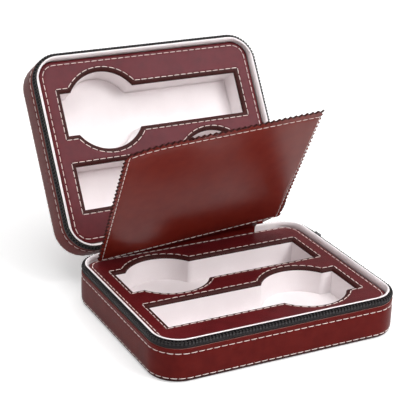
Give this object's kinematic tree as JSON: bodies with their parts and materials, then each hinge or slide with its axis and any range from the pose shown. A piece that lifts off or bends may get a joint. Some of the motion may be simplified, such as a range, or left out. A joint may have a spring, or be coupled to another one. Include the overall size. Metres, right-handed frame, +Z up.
{
  "type": "watch travel case",
  "caption": "Zip-around clamshell travel case: two leather-covered halves with keyhole watch wells and velvet lining, joined at the back, with a stitched swinging divider between them.",
  "frame": {"origin": "middle of the base's flat underside", "axes": "+X along the long side, +Y from the front to the hinged back, +Z up"},
  "size_m": [0.1956, 0.2628, 0.1589],
  "materials": {
    "burgundy_leather": "semi-gloss smooth leather with a fine grain",
    "velvet": "short-pile ivory velvet",
    "board": "raw grey board",
    "foam": "soft foam",
    "zipper_tape": "black woven tape",
    "zipper_teeth": "black moulded plastic",
    "zipper_metal": "dark plated metal"
  },
  "bodies": {
    "base": {"base_side_leather": "burgundy_leather", "base_cover_leather": "burgundy_leather", "base_tray_board": "board", "base_foam_block": "foam", "base_panel_board": "board", "base_panel_leather": "burgundy_leather", "base_rim_lining": "velvet", "base_zipper_tape": "zipper_tape", "base_zipper_teeth": "zipper_teeth", "base_zipper_stops": "zipper_metal", "base_spine_leaf": "burgundy_leather", "base_rear_well_lining": "velvet", "base_front_well_lining": "velvet", "divider_hinge_strip": "burgundy_leather"},
    "lid": {"lid_side_leather": "burgundy_leather", "lid_cover_leather": "burgundy_leather", "lid_tray_board": "board", "lid_foam_block": "foam", "lid_panel_board": "board", "lid_panel_leather": "burgundy_leather", "lid_rim_lining": "velvet", "lid_zipper_tape": "zipper_tape", "lid_zipper_teeth": "zipper_teeth", "lid_zipper_stops": "zipper_metal", "lid_spine_leaf": "burgundy_leather", "lid_rear_well_lining": "velvet", "lid_front_well_lining": "velvet"},
    "divider": {"divider_core_board": "board", "divider_lower_leather": "burgundy_leather", "divider_upper_leather": "burgundy_leather"},
    "slider": {"slider_body": "zipper_metal"},
    "pull_tab": {"slider_pull_tab": "zipper_metal"}
  },
  "joints": [
    {"name": "lid_hinge", "type": "hinge", "parent": "base", "child": "lid", "pos_m": [0, 0.0775, 0.031], "axis": [-1, 0, 0], "range_deg": [-123, 52]},
    {"name": "divider_hinge", "type": "hinge", "parent": "base", "child": "divider", "pos_m": [-0.075, 0.0671, 0.0294], "axis": [-0.9964, -0.0638, -0.0558], "range_deg": [-57.05, 24.15], "deforming": ["divider_hinge_strip"]},
    {"name": "slider_run", "type": "slide", "parent": "base", "child": "slider", "axis": [0, -1, 0], "range_m": [0, 0.096]},
    {"name": "pull_tab_swing", "type": "hinge", "parent": "slider", "child": "pull_tab", "pos_m": [0.0992, 0.048, 0.0258], "axis": [0, -1, 0], "range_deg": [0, 150]}
  ],
  "couplings": [
    {"joint": "divider_hinge", "follows": "lid_hinge", "ratio": 0.46342}
  ]
}
